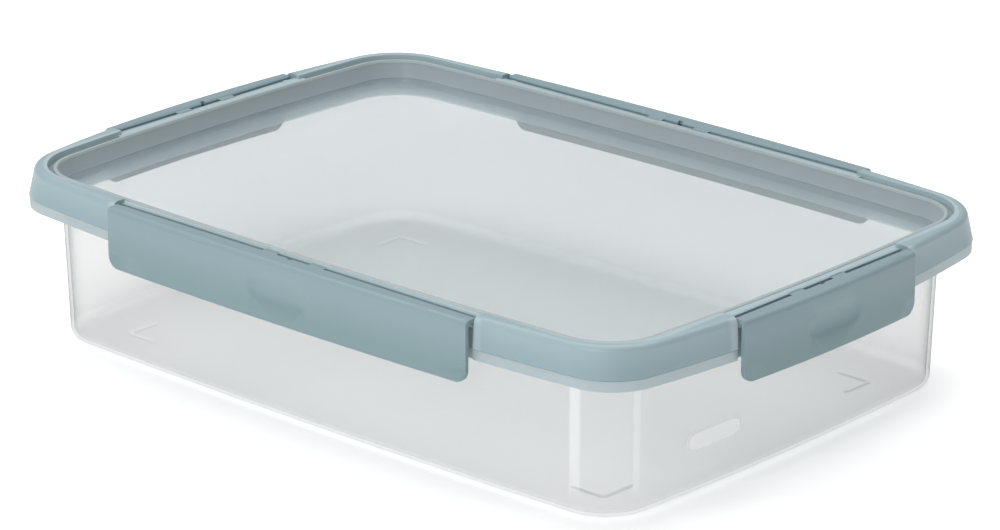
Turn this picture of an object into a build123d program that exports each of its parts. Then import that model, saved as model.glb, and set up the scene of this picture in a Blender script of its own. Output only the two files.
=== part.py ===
from build123d import *
import os

# Snap lid food container, closed. Millimetres, +Z up, origin at the middle of the base.
# Long sides face -Y and +Y, short sides face -X and +X.

# A drop is measured down from the rail's top, an inset inwards from the rim's outline.

# Overall rim and height
rim_half_x = 150.0          # rim outline at the middle of a short side
rim_half_y = 105.5          # rim outline at the middle of a long side
rim_bow_long = 7.4          # how far a long side bulges past its corners
rim_bow_short = 9.6
rim_corner = 20.0
rim_corner_top = 27.0       # the rail's top edge has rounder corners
height = 64.5               # table to the lid's rail

# Tub
base_inset_x = 14.9
base_inset_y = 12.8
base_bow_long = 2.9
base_bow_short = 3.0
base_corner = 19.5
tub_draft = 1.5             # growth of each half size from base to shoulder
tub_wall = 1.2
base_round = 3.0
foot_height = 0.8
foot_leg = 14.0
foot_width = 2.2
foot_inset = 19.4
shoulder_drop = 17.4        # where the wall starts to step out
throat_drop = 12.0          # where the wider mouth begins
mouth_drop = 4.6
lip_drop = 14.7             # the lip's bottom edge
lip_wall = 1.3
band_height = 3.6           # the lip's thicker lower band
band_inset = 0.35

# Window, the clear recessed panel of the lid
window_inset_x = 11.6
window_inset_y = 10.5
window_bow_long = 3.6
window_bow_short = 3.9
window_corner = 19.5
window_drop = 9.1           # the panel's upper face
window_sheet = 1.2
window_draft = 1.7
bead_width = 1.3
bead_drop = 1.1
bead_round = 0.5
window_flange = 1.0
flange_reach = 5.3          # from the window outline, hidden under the rail

# Frame, the coloured ring of the lid
groove_width = 2.0
rail_depth = 2.4
rail_round = 2.2
skirt_wall = 1.3
skirt_height = 10.8
skirt_inset = 0.1
skirt_draft = 0.6           # the rail's top outline is this much smaller than the skirt's
strip_drop = 1.4            # hinge carrier strip beside each clip
strip_gap = 0.3             # between the strip and the window's bead
strip_reach = 8.0
strip_overlap = 2.0         # the strip runs this far into the rail at its ends
long_strip_width = 1.7      # from the strip's gap to the slot
short_strip_width = 3.2

# Seal
seal_width = 1.3

# Clips and their film hinges
long_clip_half = 83.9
short_clip_half = 45.0
long_clip_proud = 1.7       # outer face beyond the rim's outline, at the clip's middle
short_clip_proud = 1.6
slot_width = 2.0
clip_drop = 0.8
clip_height = 21.7
clip_wall = 1.4
clip_bow = 1.6
clip_edge_round = 1.8
clip_corner = 4.5
clip_inner_chamfer = 0.6
hook_height = 3.0
hook_depth = 2.2
hook_drop = 0.5             # hook top below the lip's bottom edge
hook_end_gap = 6.0
web_offset = 7.5            # from the clip's middle to the near edge of a web
web_width = 6.8
web_thickness = 0.4
tick_width = 2.0
tick_depth = 1.3

# Clearances
slide_gap = 0.35            # between the lid and the tub as the lid lifts off
clip_gap = 0.5              # at each end of a clip
hook_gap = 0.4              # hook to the lip's recessed wall
seal_gap = 0.15

# Derived half sizes
base_half_x = rim_half_x - base_inset_x
base_half_y = rim_half_y - base_inset_y
window_half_x = rim_half_x - window_inset_x
window_half_y = rim_half_y - window_inset_y
strip_start = bead_width + strip_gap
long_slot_y = window_half_y + strip_start + long_strip_width + slot_width / 2
short_slot_x = window_half_x + strip_start + short_strip_width + slot_width / 2
long_clip_face = rim_half_y + long_clip_proud
short_clip_face = rim_half_x + short_clip_proud

# Derived heights
floor_top = foot_height + tub_wall
shoulder_z = height - shoulder_drop
throat_z = height - throat_drop
tub_top = height - mouth_drop
lip_bottom = height - lip_drop
band_top = lip_bottom + band_height
window_floor = height - window_drop
bead_top = height - bead_drop
rail_bottom = height - rail_depth
flange_bottom = rail_bottom - window_flange
skirt_bottom = height - skirt_height
strip_top = height - strip_drop
clip_top = height - clip_drop
clip_bottom = clip_top - clip_height

# Derived steps from an outline
mouth_grow = bead_width + slide_gap
rail_grow = bead_width + groove_width
lip_inset = skirt_inset + skirt_wall + slide_gap
bay_gap = clip_gap + skirt_wall + slide_gap

# Each side: direction along it, outward direction, half length of its clip,
# distance to the slot, distance to the clip's face
sides = {
    "front": ((-1, 0, 0), (0, -1, 0), long_clip_half, long_slot_y, long_clip_face),
    "rear": ((1, 0, 0), (0, 1, 0), long_clip_half, long_slot_y, long_clip_face),
    "right": ((0, -1, 0), (1, 0, 0), short_clip_half, short_slot_x, short_clip_face),
    "left": ((0, 1, 0), (-1, 0, 0), short_clip_half, short_slot_x, short_clip_face),
}


def bowed_outline(half_x, half_y, bow_long, bow_short, corner, z):
    """A rectangle with slightly bulging sides and round corners, as a face at height z."""
    corner_x = half_x - bow_short
    corner_y = half_y - bow_long
    with BuildSketch(Plane.XY.offset(z)) as outline:
        with BuildLine():
            ThreePointArc((-corner_x, -corner_y), (0, -half_y), (corner_x, -corner_y))
            ThreePointArc((corner_x, -corner_y), (half_x, 0), (corner_x, corner_y))
            ThreePointArc((corner_x, corner_y), (0, half_y), (-corner_x, corner_y))
            ThreePointArc((-corner_x, corner_y), (-half_x, 0), (-corner_x, -corner_y))
        make_face()
        fillet(outline.vertices(), corner)
    return outline.sketch


def rim_outline(inset, z, corner=rim_corner):
    return bowed_outline(rim_half_x - inset, rim_half_y - inset,
                         rim_bow_long, rim_bow_short, corner - inset, z)


def drafted_rim(step_in, top):
    """The skirt's drafted solid, a step inside its face, from the skirt's bottom up to top."""
    inset = skirt_inset + step_in
    with BuildPart() as core:
        loft([rim_outline(inset, skirt_bottom),
              rim_outline(inset + skirt_draft, height, rim_corner_top)], ruled=True)
        split(bisect_by=Plane.XY.offset(top), keep=Keep.BOTTOM)
    return core.part


def window_outline(grow, z):
    return bowed_outline(window_half_x + grow, window_half_y + grow,
                         window_bow_long, window_bow_short, window_corner + grow, z)


def tub_outline(grow, z):
    return bowed_outline(base_half_x + grow, base_half_y + grow,
                         base_bow_long, base_bow_short, base_corner + grow, z)


def side_plane(side, z):
    """Plan plane of one side: x runs along the side, y points outward."""
    along = sides[side][0]
    return Plane(origin=(0, 0, z), x_dir=along, z_dir=(0, 0, 1))


def clip_bays(starts, end_gap, z, depth=30.0):
    """Plan rectangles of the four clip bays, from each side's start outwards."""
    with BuildSketch(Plane.XY.offset(z)) as bays:
        for side, (_, outward, clip_half, _, _) in sides.items():
            middle = starts[side] + depth / 2
            length = 2 * (clip_half + end_gap)
            size = (length, depth) if outward[0] == 0 else (depth, length)
            with Locations((outward[0] * middle, outward[1] * middle)):
                Rectangle(*size)
    return bays.sketch


def side_distances(slot_share, face_share, step):
    """One distance for each side, from its slot or from its clip's face, plus a step."""
    return {side: slot_share * slot + face_share * face + step
            for side, (_, _, _, slot, face) in sides.items()}


hook_step = clip_bow + clip_wall + hook_depth
hook_tip = side_distances(0, 1, -hook_step)
lip_face = side_distances(0, 1, -hook_step - hook_gap)
lip_back = side_distances(0, 1, -hook_step - hook_gap - lip_wall)
flange_edge = side_distances(1, 0, -slot_width / 2 - strip_gap)
strip_inner = side_distances(1, 0, -slot_width / 2 - strip_reach)

os.makedirs("parts", exist_ok=True)

# Tub: wall, stepped mouth, flange and down-turned lip, recessed behind each clip
with BuildPart() as tub_inside:
    loft([tub_outline(-tub_wall, floor_top), tub_outline(tub_draft - tub_wall, shoulder_z)],
         ruled=True)
    fillet(tub_inside.edges().group_by(Axis.Z)[0], base_round - tub_wall)
    loft([tub_outline(tub_draft - tub_wall, shoulder_z), window_outline(mouth_grow, throat_z)],
         ruled=True)
    extrude(window_outline(mouth_grow, throat_z), amount=tub_top - throat_z)

lip_outside = drafted_rim(skirt_wall + slide_gap, tub_top)
lip_core = drafted_rim(skirt_wall + slide_gap + lip_wall, tub_top - tub_wall)

with BuildPart() as lip_inside:
    extrude(rim_outline(lip_inset + lip_wall, lip_bottom), amount=skirt_bottom - lip_bottom)
    add(lip_core)
    extrude(clip_bays(lip_back, bay_gap + lip_wall, lip_bottom), amount=tub_top - lip_bottom,
            mode=Mode.SUBTRACT)

with BuildPart() as tub:
    extrude(rim_outline(lip_inset, lip_bottom), amount=skirt_bottom - lip_bottom)
    add(lip_outside)
    extrude(rim_outline(band_inset, lip_bottom), amount=band_top - lip_bottom)
    extrude(clip_bays(lip_face, bay_gap, band_top), amount=tub_top - band_top,
            mode=Mode.SUBTRACT)
    extrude(clip_bays(lip_face, clip_gap, lip_bottom), amount=band_top - lip_bottom,
            mode=Mode.SUBTRACT)
    add(lip_inside.part, mode=Mode.SUBTRACT)
    loft([tub_outline(tub_draft, shoulder_z), window_outline(mouth_grow + tub_wall, throat_z)],
         ruled=True)
    extrude(window_outline(mouth_grow + tub_wall, throat_z), amount=tub_top - throat_z)
    loft([tub_outline(0, foot_height), tub_outline(tub_draft, shoulder_z)], ruled=True)
    fillet(tub.edges().group_by(Axis.Z)[0], base_round)
    add(tub_inside.part, mode=Mode.SUBTRACT)
    # L-shaped feet under the corners
    with BuildSketch(Plane.XY):
        foot_x = base_half_x - base_bow_short - foot_inset
        foot_y = base_half_y - base_bow_long - foot_inset
        for sign_x in (-1, 1):
            for sign_y in (-1, 1):
                with Locations((sign_x * (foot_x - foot_leg / 2), sign_y * foot_y)):
                    SlotOverall(foot_leg, foot_width)
                with Locations((sign_x * foot_x, sign_y * (foot_y - foot_leg / 2))):
                    SlotOverall(foot_leg, foot_width, rotation=90)
    extrude(amount=foot_height)
tub.part.label = "tub"
export_step(tub.part, "parts/tub.step")

# Window: bead, well wall, floor sheet and the hidden flange that the frame holds
with BuildPart() as well:
    loft([window_outline(-window_draft, window_floor), window_outline(0, bead_top)], ruled=True)

with BuildPart() as lid_window:
    loft([window_outline(window_sheet - window_draft, window_floor - window_sheet),
          window_outline(bead_width, flange_bottom)], ruled=True)
    extrude(window_outline(bead_width, flange_bottom), amount=bead_top - flange_bottom)
    fillet(lid_window.edges().group_by(Axis.Z)[-1], bead_round)
    extrude(window_outline(flange_reach, flange_bottom), amount=window_flange)
    extrude(clip_bays(flange_edge, clip_gap + skirt_wall, flange_bottom),
            amount=window_flange, mode=Mode.SUBTRACT)
    add(well.part, mode=Mode.SUBTRACT)
lid_window.part.label = "lid_window"
export_step(lid_window.part, "parts/lid_window.step")

# Frame: rail and skirt in one ring, open at the four clip bays, with a carrier strip in each
skirt_outside = drafted_rim(0, height)
skirt_core = drafted_rim(skirt_wall, rail_bottom)

with BuildPart() as skirt_inside:
    add(skirt_core)
    extrude(clip_bays(hook_tip, clip_gap + skirt_wall, skirt_bottom),
            amount=rail_bottom - skirt_bottom, mode=Mode.SUBTRACT)

with BuildPart() as strips:
    extrude(clip_bays(strip_inner, clip_gap + strip_overlap, rail_bottom, strip_reach),
            amount=strip_top - rail_bottom)
    extrude(window_outline(strip_start, rail_bottom), amount=strip_top - rail_bottom,
            mode=Mode.SUBTRACT)

with BuildPart() as lid_frame:
    add(skirt_outside)
    fillet(lid_frame.edges().group_by(Axis.Z)[-1], rail_round)
    add(skirt_inside.part, mode=Mode.SUBTRACT)
    extrude(window_outline(rail_grow, rail_bottom), amount=rail_depth, mode=Mode.SUBTRACT)
    extrude(clip_bays(strip_inner, clip_gap, skirt_bottom), amount=height - skirt_bottom,
            mode=Mode.SUBTRACT)
    add(strips.part)
lid_frame.part.label = "lid_frame"
export_step(lid_frame.part, "parts/lid_frame.step")

# Seal: flat ring between the window's flange and the top of the tub's mouth
with BuildPart() as seal:
    extrude(window_outline(mouth_grow + seal_width, tub_top + seal_gap),
            amount=flange_bottom - tub_top - seal_gap)
    extrude(window_outline(mouth_grow, tub_top + seal_gap),
            amount=flange_bottom - tub_top - seal_gap, mode=Mode.SUBTRACT)
seal.part.label = "seal"
export_step(seal.part, "parts/seal.step")


def clip_plan(clip_half, inner, face, plane):
    """Plan of a clip: straight beside its slot and bowed along its outer face."""
    with BuildSketch(plane) as plan:
        with BuildLine():
            ThreePointArc((-clip_half, face - clip_bow), (0, face), (clip_half, face - clip_bow))
            Polyline((clip_half, face - clip_bow), (clip_half, inner), (-clip_half, inner),
                     (-clip_half, face - clip_bow))
        make_face()
    return plan.sketch


# Clips: top plate, bowed face plate and hook, with two film webs across each slot
for side, (along, outward, clip_half, slot, face) in sides.items():
    clip_inner = slot + slot_width / 2
    outward_axis = Axis((0, 0, 0), outward)
    hook_top = lip_bottom - hook_drop
    hook_bottom = hook_top - hook_height
    hook_half = clip_half - hook_end_gap
    hook_start = (-along[0] * hook_half, -along[1] * hook_half, 0)

    with BuildPart() as hollow:
        extrude(clip_plan(clip_half, clip_inner, face - clip_wall, side_plane(side, clip_bottom)),
                amount=clip_top - clip_wall - clip_bottom)
        with BuildSketch(Plane(origin=hook_start, x_dir=outward, z_dir=along)):
            with BuildLine():
                Polyline((hook_tip[side], hook_top), (face, hook_top), (face, hook_bottom),
                         (face - clip_bow - clip_wall, hook_bottom), close=True)
            make_face()
        extrude(amount=2 * hook_half, mode=Mode.SUBTRACT)

    with BuildPart() as clip:
        extrude(clip_plan(clip_half, clip_inner, face, side_plane(side, clip_bottom)),
                amount=clip_top - clip_bottom)
        top_edges = clip.edges().group_by(Axis.Z)[-1].sort_by(outward_axis)
        fillet(top_edges[-1], clip_edge_round)
        chamfer(clip.edges().group_by(Axis.Z)[-1].sort_by(outward_axis)[0], clip_inner_chamfer)
        add(hollow.part, mode=Mode.SUBTRACT)
        fillet(clip.edges().filter_by(outward_axis).group_by(Axis.Z)[0], clip_corner)
        with BuildSketch(side_plane(side, clip_top - clip_wall)):
            with Locations((0, clip_inner)):
                Rectangle(tick_width, 2 * tick_depth)
        extrude(amount=clip_wall, mode=Mode.SUBTRACT)
    clip.part.label = f"{side}_clip"
    export_step(clip.part, f"parts/{side}_clip.step")

    with BuildPart() as web:
        with BuildSketch(side_plane(side, strip_top - web_thickness)):
            web_middle = web_offset + web_width / 2
            with Locations((-web_middle, slot), (web_middle, slot)):
                Rectangle(web_width, slot_width)
        extrude(amount=web_thickness)
    web.part.label = f"{side}_hinge_web"
    export_step(web.part, f"parts/{side}_hinge_web.step")
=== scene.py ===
import math
import bmesh
import bpy
from mathutils import Matrix, Vector


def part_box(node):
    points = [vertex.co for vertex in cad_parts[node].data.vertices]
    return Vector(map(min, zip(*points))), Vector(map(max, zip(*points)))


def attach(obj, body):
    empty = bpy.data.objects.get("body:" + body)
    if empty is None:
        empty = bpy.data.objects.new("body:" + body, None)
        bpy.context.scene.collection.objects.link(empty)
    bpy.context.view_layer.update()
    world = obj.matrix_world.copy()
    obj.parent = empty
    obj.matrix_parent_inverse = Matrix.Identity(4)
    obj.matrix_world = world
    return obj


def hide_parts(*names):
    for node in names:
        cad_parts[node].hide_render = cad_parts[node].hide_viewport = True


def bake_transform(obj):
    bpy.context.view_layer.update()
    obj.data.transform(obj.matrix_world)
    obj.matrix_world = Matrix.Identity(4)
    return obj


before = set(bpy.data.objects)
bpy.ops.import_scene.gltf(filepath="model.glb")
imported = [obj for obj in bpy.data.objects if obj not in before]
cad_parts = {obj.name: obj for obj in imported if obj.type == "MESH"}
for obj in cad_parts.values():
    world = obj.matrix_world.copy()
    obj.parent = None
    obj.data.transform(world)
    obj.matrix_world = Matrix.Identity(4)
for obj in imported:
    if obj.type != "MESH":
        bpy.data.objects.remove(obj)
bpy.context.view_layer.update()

# All sizes are in metres. Each side: outward direction and direction along it.
MM = 0.001
SIDES = {
    "front": (Vector((0, -1, 0)), Vector((1, 0, 0))),
    "rear": (Vector((0, 1, 0)), Vector((-1, 0, 0))),
    "right": (Vector((1, 0, 0)), Vector((0, 1, 0))),
    "left": (Vector((-1, 0, 0)), Vector((0, -1, 0))),
}
UP = Vector((0, 0, 1))

# The lid's half outline and the tub's front
lid_half_length, lid_half_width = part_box("lid_frame")[1][:2]
tub_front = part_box("tub")[0][1]

# Frame: the skirt ends pale beside the clip bays, and the rail's inner groove gets painted fill
# light over its shade
long_bay_end = 85.5 * MM
long_skirt_from = 101.0 * MM
short_bay_end = 47.0 * MM
short_skirt_from = 145.5 * MM
bay_fade = 3.0 * MM
skirt_fade = 0.5 * MM
groove_inset = 5.5 * MM
groove_corner = 26.5 * MM
groove_fade = 0.6 * MM
groove_from = 54.0 * MM
groove_full = 56.0 * MM

# Tub: two painted reflections, upright strips in the front right corner's bend, by the sum of x
# and y
first_bar = (24.0 * MM, 25.5 * MM, 28.5 * MM, 30.0 * MM)
second_bar = (53.0 * MM, 54.0 * MM, 56.0 * MM, 57.5 * MM)
second_bar_share = 0.4
bars_behind = -60.0 * MM
bars_before = -64.0 * MM
bars_foot = (7.0 * MM, 12.0 * MM)
bars_top = (49.0 * MM, 47.0 * MM)

# Tub: a plain frosted patch low on the right wall, rounded by a fourth power
patch_along = 0.40                 # share of the way from the middle to the front
patch_level = 19.6 * MM
patch_half_length = 12.8 * MM
patch_half_height = 3.1 * MM
patch_edge = (1.15, 0.85)          # 1 is the patch's own outline
patch_wall = (120.0 * MM, 125.0 * MM)

# Clear sheets: the tub's walls start above its floor, its lip and the lid's well turn milky,
# and the lid's bead is frosted
wall_foot = (3.0 * MM, 5.0 * MM)
lip_from = 49.4 * MM
well_from = 56.6 * MM
bead_from = 62.4 * MM
above_the_box = 80 * MM
rim_fade = 0.4 * MM
frost_fade = 0.3 * MM

# Film hinges
web_width = 6.8 * MM
web_overlap = 1.2 * MM             # past the slot, both edges together
web_cuts = 11
bend_half_width = 0.3 * MM
bend_share = 0.2                   # of the web's half thickness left under the bend

# Shallow panels on the clips
panel_length = 27 * MM
panel_height = 8.6 * MM
panel_corner = 2.2 * MM
panel_rise = 11 * MM
panel_slope = 0.45 * MM
panel_depth = 0.3 * MM
face_depth = 0.7 * MM              # outer faces lie within this of the clip's outermost face
merge_distance = 0.001 * MM
same_way = 0.9                     # least dot product of two directions taken as one


# ---------------------------------------------------------------- shader maths

class Value:
    """A number or colour that varies over a surface. Operators add Math nodes."""

    def __init__(self, finish, socket):
        self.finish = finish
        self.socket = socket

    def maths(self, operation, first, second=0.0):
        return self.finish.node("ShaderNodeMath", {"operation": operation},
                                {0: first, 1: second})

    def __add__(self, other):
        return self.maths("ADD", self, other)

    def __radd__(self, other):
        return self.maths("ADD", other, self)

    def __sub__(self, other):
        return self.maths("SUBTRACT", self, other)

    def __rsub__(self, other):
        return self.maths("SUBTRACT", other, self)

    def __mul__(self, other):
        return self.maths("MULTIPLY", self, other)

    def __rmul__(self, other):
        return self.maths("MULTIPLY", other, self)

    def __pow__(self, other):
        return self.maths("POWER", self, other)

    def __abs__(self):
        return self.maths("ABSOLUTE", self)


class Finish:
    """One material and its nodes."""

    def __init__(self, name):
        self.material = bpy.data.materials.new(name)
        self.material.use_nodes = True
        self.tree = self.material.node_tree
        self.tree.nodes.clear()

    def node(self, kind, settings=None, sockets=None, output=0):
        made = self.tree.nodes.new(kind)
        for name, value in (settings or {}).items():
            setattr(made, name, value)
        for name, value in (sockets or {}).items():
            if isinstance(value, Value):
                self.tree.links.new(value.socket, made.inputs[name])
            else:
                made.inputs[name].default_value = value
        return Value(self, made.outputs[output])

    def place(self):
        return self.node("ShaderNodeTexCoord", output="Object")

    def axes(self):
        place = self.place()
        return [self.node("ShaderNodeSeparateXYZ", {}, {"Vector": place}, output=axis)
                for axis in "XYZ"]

    def noise(self, scale, detail=2.0, roughness=0.5):
        return self.node("ShaderNodeTexNoise", {},
                         {"Vector": self.place(), "Scale": scale, "Detail": detail,
                          "Roughness": roughness})

    def bump(self, height, strength, distance):
        return self.node("ShaderNodeBump", {},
                         {"Height": height, "Strength": strength, "Distance": distance})

    def above_zero(self, value):
        return self.node("ShaderNodeMath", {"operation": "MAXIMUM"}, {0: value, 1: 0.0})

    def step(self, value, low, high):
        """0 at low, 1 at high and a soft step between. low may be the larger."""
        return self.node("ShaderNodeMapRange", {"interpolation_type": "SMOOTHSTEP"},
                         {"Value": value, "From Min": low, "From Max": high})

    def rounded(self, first, second, half_first, half_second, corner, fade):
        """1 inside a rounded rectangle about zero, 0 outside it."""
        past_first = self.above_zero(abs(first) - (half_first - corner))
        past_second = self.above_zero(abs(second) - (half_second - corner))
        reach = (past_first * past_first + past_second * past_second) ** 0.5
        return self.step(reach, corner, corner - fade)

    def mix(self, factor, first, second):
        return self.node("ShaderNodeMix", {"data_type": "RGBA"},
                         {"Factor": factor, 6: first, 7: second}, output=2)

    def blend(self, factor, first, second):
        return self.node("ShaderNodeMixShader", {}, {0: factor, 1: first, 2: second})

    def output(self, surface):
        end = self.tree.nodes.new("ShaderNodeOutputMaterial")
        self.tree.links.new(surface.socket, end.inputs["Surface"])
        return self.material


# ------------------------------------------------------------------- materials

def bay_ends(finish, along, outwards, bay_end, skirt_from):
    """The last few millimetres of the skirt on both sides of a clip bay."""
    near_bay = finish.step(abs(along), bay_end + bay_fade, bay_end)
    return near_bay * finish.step(abs(outwards), skirt_from, skirt_from + skirt_fade)


def satin_plastic(name, colour, painted_highlight_colour, painted_highlight_span, pale_and_fill_share):
    """Moulded polypropylene with a fine grain.

    It turns lighter between the two given heights, a painted highlight towards the top, and by the
    given
    share to a pale colour: pale at the ends beside the bays, and a painted fill light in the
    groove's shade.
    """
    finish = Finish(name)
    x, y, z = finish.axes()
    drift = finish.noise(35.0, detail=3.0)
    grain = finish.noise(2600.0, detail=2.0, roughness=0.6)
    # Painted highlight: the colour turns lighter towards the top, between the two given heights,
    # where the light falls
    rise = finish.step(z, painted_highlight_span[0], painted_highlight_span[1])
    tone = finish.mix(rise * 0.85 + drift * 0.15, colour, painted_highlight_colour)
    ends = (bay_ends(finish, x, y, long_bay_end, long_skirt_from)
            + bay_ends(finish, y, x, short_bay_end, short_skirt_from))
    # Painted fill light: inside the rail's groove, which lies in shade, the colour turns pale
    groove = finish.rounded(x, y, lid_half_length - groove_inset, lid_half_width - groove_inset,
                            groove_corner, groove_fade)
    groove = groove * finish.step(z, groove_from, groove_full)
    surface = finish.node("ShaderNodeBsdfPrincipled", {}, {
        "Base Color": finish.mix((ends + groove) * pale_and_fill_share, tone, PALE_END_AND_FILL_COLOUR),
        "Roughness": 0.34 + 0.12 * grain,
        "IOR": 1.49,
        "Subsurface Weight": 0.15,
        "Subsurface Radius": (0.9, 1.0, 1.0),
        "Subsurface Scale": 1.5 * MM,
        "Normal": finish.bump(grain, 0.22, 0.12 * MM),
    })
    return finish.output(surface)


def upright_bar(finish, run, bar):
    return finish.step(run, bar[0], bar[1]) * finish.step(run, bar[3], bar[2])


def painted_corner_reflections(finish, x, y, z):
    """Two upright painted reflections in the front right corner's bend."""
    run = x + y
    painted_reflections = (upright_bar(finish, run, first_bar)
            + upright_bar(finish, run, second_bar) * second_bar_share)
    corner = finish.step(y, bars_behind, bars_before) * finish.step(z, *bars_foot)
    return painted_reflections * corner * finish.step(z, *bars_top)


def wall_patch(finish, x, y, z):
    """A plain frosted pill low on the right wall."""
    across = abs(y - tub_front * patch_along) * (1 / patch_half_length)
    rise = abs(z - patch_level) * (1 / patch_half_height)
    return finish.step(across ** 4.0 + rise ** 4.0, *patch_edge) * finish.step(x, *patch_wall)


def clear_plastic(name, milk_colour, tint, haze, wall_haze, milky_from, milky_colour, milky,
                  frosted_from, edge_shade, marked):
    """Clear polypropylene sheet: faintly milky, denser towards its rim, with a gloss.

    It is milky above milky_from and frosted above frosted_from. marked is 1 for a sheet with the
    painted corner reflections and the wall patch, and 0 for one without.
    """
    finish = Finish(name)
    x, y, z = finish.axes()
    facing = finish.node("ShaderNodeLayerWeight", {}, {"Blend": 0.5}, output="Facing")
    cloud = finish.noise(18.0, detail=3.0)
    ripple = finish.noise(60.0, detail=1.0)
    normal = finish.bump(ripple, 0.05, 0.8 * MM)
    rim = finish.step(z, milky_from, milky_from + rim_fade)
    frost = finish.step(z, frosted_from, frosted_from + frost_fade)
    wall = finish.step(z, *wall_foot)
    # Painted reflections: two fixed upright strips of extra gloss and less haze in the tub's
    # corner
    painted_reflections = painted_corner_reflections(finish, x, y, z) * marked
    patch = wall_patch(finish, x, y, z) * marked

    tone = finish.mix(patch, finish.mix(rim, milk_colour, milky_colour), PATCH_COLOUR)
    lit = finish.node("ShaderNodeBsdfPrincipled", {}, {
        "Base Color": tone, "Roughness": 0.42, "IOR": 1.49, "Normal": normal})
    glow = finish.node("ShaderNodeBsdfTranslucent", {}, {"Color": tone})
    milk = finish.blend(0.45, lit, glow)
    open_air = finish.node("ShaderNodeBsdfTransparent", {}, {"Color": tint})
    amount = haze + wall * wall_haze + (facing ** 3.0) * 0.15 + (cloud - 0.5) * 0.02
    amount = amount + patch * 0.5 - painted_reflections * 0.06
    body = finish.blend(amount + rim * milky + frost * 0.32, open_air, milk)

    shade = finish.node("ShaderNodeBsdfDiffuse", {}, {"Color": EDGE_COLOUR})
    body = finish.blend((facing ** 5.0) * wall * edge_shade, body, shade)
    gloss = finish.node("ShaderNodeBsdfAnisotropic", {},
                        {"Color": (1, 1, 1, 1), "Roughness": 0.09, "Normal": normal})
    mirror = 0.03 + (facing ** 5.0) * 0.25 + painted_reflections * 0.12
    return finish.output(finish.blend(mirror, body, gloss))


def silicone(name):
    finish = Finish(name)
    speck = finish.noise(900.0)
    tone = finish.mix(speck, (0.60, 0.66, 0.68, 1), (0.66, 0.72, 0.74, 1))
    surface = finish.node("ShaderNodeBsdfPrincipled", {}, {
        "Base Color": tone, "Roughness": 0.55 + 0.1 * speck, "IOR": 1.42,
        "Normal": finish.bump(speck, 0.15, 0.1 * MM)})
    return finish.output(surface)


def pale_floor(name):
    finish = Finish(name)
    speck = finish.noise(6.0)
    tone = finish.mix(speck, (0.90, 0.90, 0.90, 1), (0.91, 0.91, 0.91, 1))
    surface = finish.node("ShaderNodeBsdfPrincipled", {}, {
        "Base Color": tone, "Roughness": 0.9, "Specular IOR Level": 0.1,
        "Emission Color": (1, 1, 1, 1), "Emission Strength": 0.26})
    return finish.output(surface)


# Pale skirt ends beside the clip bays, and painted fill light in the frame's groove
PALE_END_AND_FILL_COLOUR = (0.42, 0.52, 0.55, 1)
PATCH_COLOUR = (0.97, 0.97, 0.97, 1)
EDGE_COLOUR = (0.22, 0.24, 0.25, 1)

# Both blues carry a painted highlight towards the top; the frame's blue also paints fill light
# into its groove
BLUE = satin_plastic(
    "blue_grey_plastic", colour=(0.165, 0.253, 0.272, 1), painted_highlight_colour=(0.215, 0.300, 0.332, 1),
    painted_highlight_span=(45 * MM, 60 * MM), pale_and_fill_share=0.0)
FRAME_BLUE = satin_plastic(
    "frame_plastic", colour=(0.235, 0.328, 0.362, 1), painted_highlight_colour=(0.285, 0.380, 0.412, 1),
    painted_highlight_span=(55 * MM, 63 * MM), pale_and_fill_share=0.6)
CLEAR_TUB = clear_plastic(
    "clear_tub", milk_colour=(0.62, 0.62, 0.62, 1), tint=(0.965, 0.965, 0.965, 1),
    haze=0.04, wall_haze=0.085, milky_from=lip_from, milky_colour=(0.56, 0.66, 0.69, 1),
    milky=0.60, frosted_from=above_the_box, edge_shade=0.9, marked=1.0)
CLEAR_LID = clear_plastic(
    "clear_lid", milk_colour=(0.55, 0.605, 0.62, 1), tint=(0.94, 0.955, 0.96, 1),
    haze=0.15, wall_haze=0.0, milky_from=well_from, milky_colour=(0.56, 0.63, 0.645, 1),
    milky=0.60, frosted_from=bead_from, edge_shade=0.05, marked=0.0)
SEAL = silicone("seal_silicone")


def dress(node, material):
    for slot_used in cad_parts[node].material_slots:
        slot_used.material = material


dress("tub", CLEAR_TUB)
dress("lid_window", CLEAR_LID)
dress("lid_frame", FRAME_BLUE)
dress("seal", SEAL)
for clip_side in SIDES:
    dress(f"{clip_side}_clip", BLUE)
    dress(f"{clip_side}_hinge_web", BLUE)


# ---------------------------------------------------------------------- pieces

def blue_piece(name, shape):
    """A bmesh made into a blue-grey piece at the origin."""
    mesh = bpy.data.meshes.new(name)
    shape.to_mesh(mesh)
    shape.free()
    mesh.materials.append(BLUE)
    piece = bpy.data.objects.new(name, mesh)
    bpy.context.collection.objects.link(piece)
    return piece


def side_matrix(side, origin):
    """Local x back along the side, local y outwards, local z up: a right-handed turn."""
    outward, along = SIDES[side]
    return Matrix.Translation(origin) @ Matrix((-along, outward, UP)).transposed().to_4x4()


def hinge_film(side):
    """Two thin webs over a clip's slot, each with a groove to bend in."""
    low, high = (Vector(corner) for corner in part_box(f"{side}_hinge_web"))
    middle = (low + high) / 2
    span = high - low
    outward, along = SIDES[side]
    slot_width = abs(span.dot(outward))
    reach = abs(span.dot(along)) / 2
    shape = bmesh.new()
    for sign in (-1, 1):
        web = bmesh.ops.create_cube(shape, size=1.0)["verts"]
        bmesh.ops.scale(shape, vec=(web_width, slot_width + web_overlap, span.z), verts=web)
        bmesh.ops.translate(shape, vec=(sign * (reach - web_width / 2), 0, 0), verts=web)
    across = [edge for edge in shape.edges
              if abs((edge.verts[0].co - edge.verts[1].co).normalized().y) > same_way]
    bmesh.ops.subdivide_edges(shape, edges=across, cuts=web_cuts, use_grid_fill=True)
    for vert in shape.verts:
        if abs(vert.co.y) < bend_half_width and vert.co.z < 0:
            vert.co.z *= bend_share
    bmesh.ops.transform(shape, matrix=side_matrix(side, middle), verts=shape.verts)
    bmesh.ops.recalc_face_normals(shape, faces=shape.faces)
    film = blue_piece(f"{side}_hinge_film", shape)
    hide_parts(f"{side}_hinge_web")
    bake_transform(film)


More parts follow.
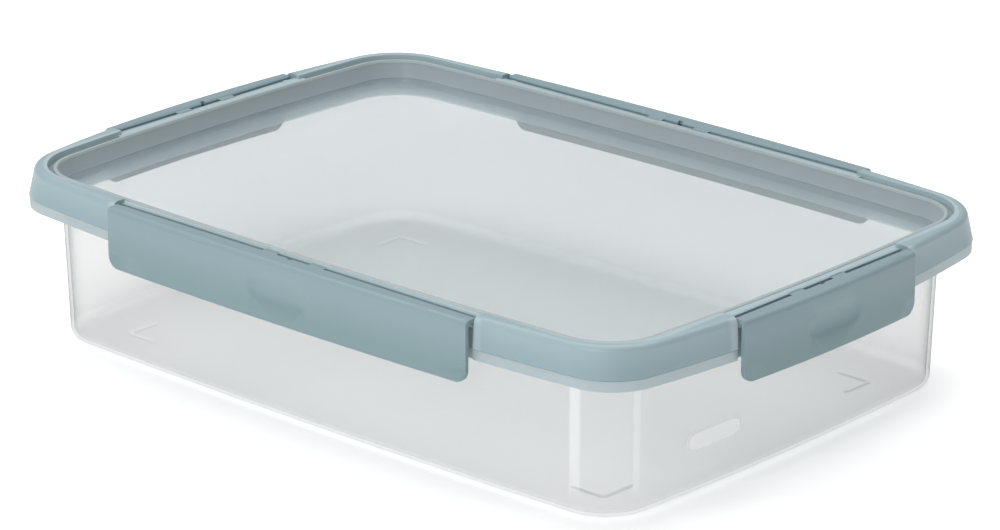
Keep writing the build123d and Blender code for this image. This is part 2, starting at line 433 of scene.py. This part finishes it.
def panelled_clip(side):
    """A clip with a plain shallow panel sunk into the middle of its outer face."""
    node = f"{side}_clip"
    low, high = (Vector(corner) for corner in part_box(node))
    outward, along = SIDES[side]
    middle = outward * max(low.dot(outward), high.dot(outward)) + UP * (low.z + panel_rise)
    shape = bmesh.new()
    shape.from_mesh(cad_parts[node].data)
    bmesh.ops.remove_doubles(shape, verts=shape.verts, dist=merge_distance)

    # The panel's outline: its four sides and its four cut corners
    half_length = panel_length / 2
    half_height = panel_height / 2
    slanted = (half_length + half_height - panel_corner) / math.sqrt(2)
    cuts = [(along, half_length), (UP, half_height),
            ((along + UP).normalized(), slanted), ((along - UP).normalized(), slanted)]
    for direction, reach in cuts:
        for sign in (-1, 1):
            bmesh.ops.bisect_plane(shape, geom=shape.verts[:] + shape.edges[:] + shape.faces[:],
                                   dist=merge_distance,
                                   plane_co=middle + direction * reach * sign,
                                   plane_no=direction * sign)
    shape.normal_update()

    panel = []
    for part in shape.faces:
        spot = part.calc_center_median() - middle
        inside = all(abs(spot.dot(direction)) < reach for direction, reach in cuts)
        outer = part.normal.dot(outward) > same_way and abs(spot.dot(outward)) < face_depth
        if inside and outer:
            panel.append(part)
    bmesh.ops.inset_region(shape, faces=panel, thickness=panel_slope, depth=-panel_depth,
                           use_even_offset=True)
    clip = blue_piece(f"{side}_clip_panelled", shape)
    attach(clip, node)
    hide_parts(node)


for side in SIDES:
    hinge_film(side)
    panelled_clip(side)


# ---------------------------------------------------------- floor, light, camera

def studio():
    shape = bmesh.new()
    bmesh.ops.create_grid(shape, x_segments=1, y_segments=1, size=6.0)
    mesh = bpy.data.meshes.new("studio_floor")
    shape.to_mesh(mesh)
    shape.free()
    floor = bpy.data.objects.new("studio_floor", mesh)
    bpy.context.collection.objects.link(floor)
    mesh.materials.append(pale_floor("studio_floor"))
    world = bpy.data.worlds.new("studio")
    world.use_nodes = True
    backdrop = world.node_tree.nodes["Background"]
    backdrop.inputs["Color"].default_value = (1.0, 1.0, 1.0, 1.0)
    backdrop.inputs["Strength"].default_value = 0.42
    bpy.context.scene.world = world


def softbox(name, place, aim, width, height, power):
    light = bpy.data.lights.new(name, "AREA")
    light.shape = "RECTANGLE"
    light.size = width
    light.size_y = height
    light.energy = power
    lamp = bpy.data.objects.new(name, light)
    place = Vector(place)
    lamp.location = place
    lamp.rotation_euler = (place - Vector(aim)).to_track_quat("Z", "Y").to_euler()
    bpy.context.collection.objects.link(lamp)


def camera():
    azimuth = math.radians(42.31)
    elevation = math.radians(19.69)
    distance = 1.5817
    aim = Vector((-0.0055, 0.0091, 0.0311))
    back = Vector((math.sin(azimuth) * math.cos(elevation),
                   -math.cos(azimuth) * math.cos(elevation), math.sin(elevation)))
    lens = bpy.data.cameras.new("main_camera")
    lens.sensor_width = 36.0
    lens.lens = 161.2
    eye = bpy.data.objects.new("main_camera", lens)
    eye.location = aim + back * distance
    eye.rotation_euler = back.to_track_quat("Z", "Y").to_euler()
    bpy.context.collection.objects.link(eye)
    bpy.context.scene.camera = eye


studio()
softbox("top_softbox", (-0.3, 0.3, 1.7), (0, 0, 0), 2.2, 1.6, 32.0)
softbox("left_softbox", (-1.0, -1.4, 0.8), (0, 0, 0.05), 1.1, 0.8, 4.5)
softbox("corner_softbox", (0.42, -1.45, 0.8), (0.13, -0.09, 0.04), 0.5, 0.7, 12.0)
camera()
bpy.context.scene.view_settings.view_transform = "Standard"
bpy.context.scene.view_settings.exposure = -0.17
bpy.context.scene.cycles.transparent_max_bounces = 32
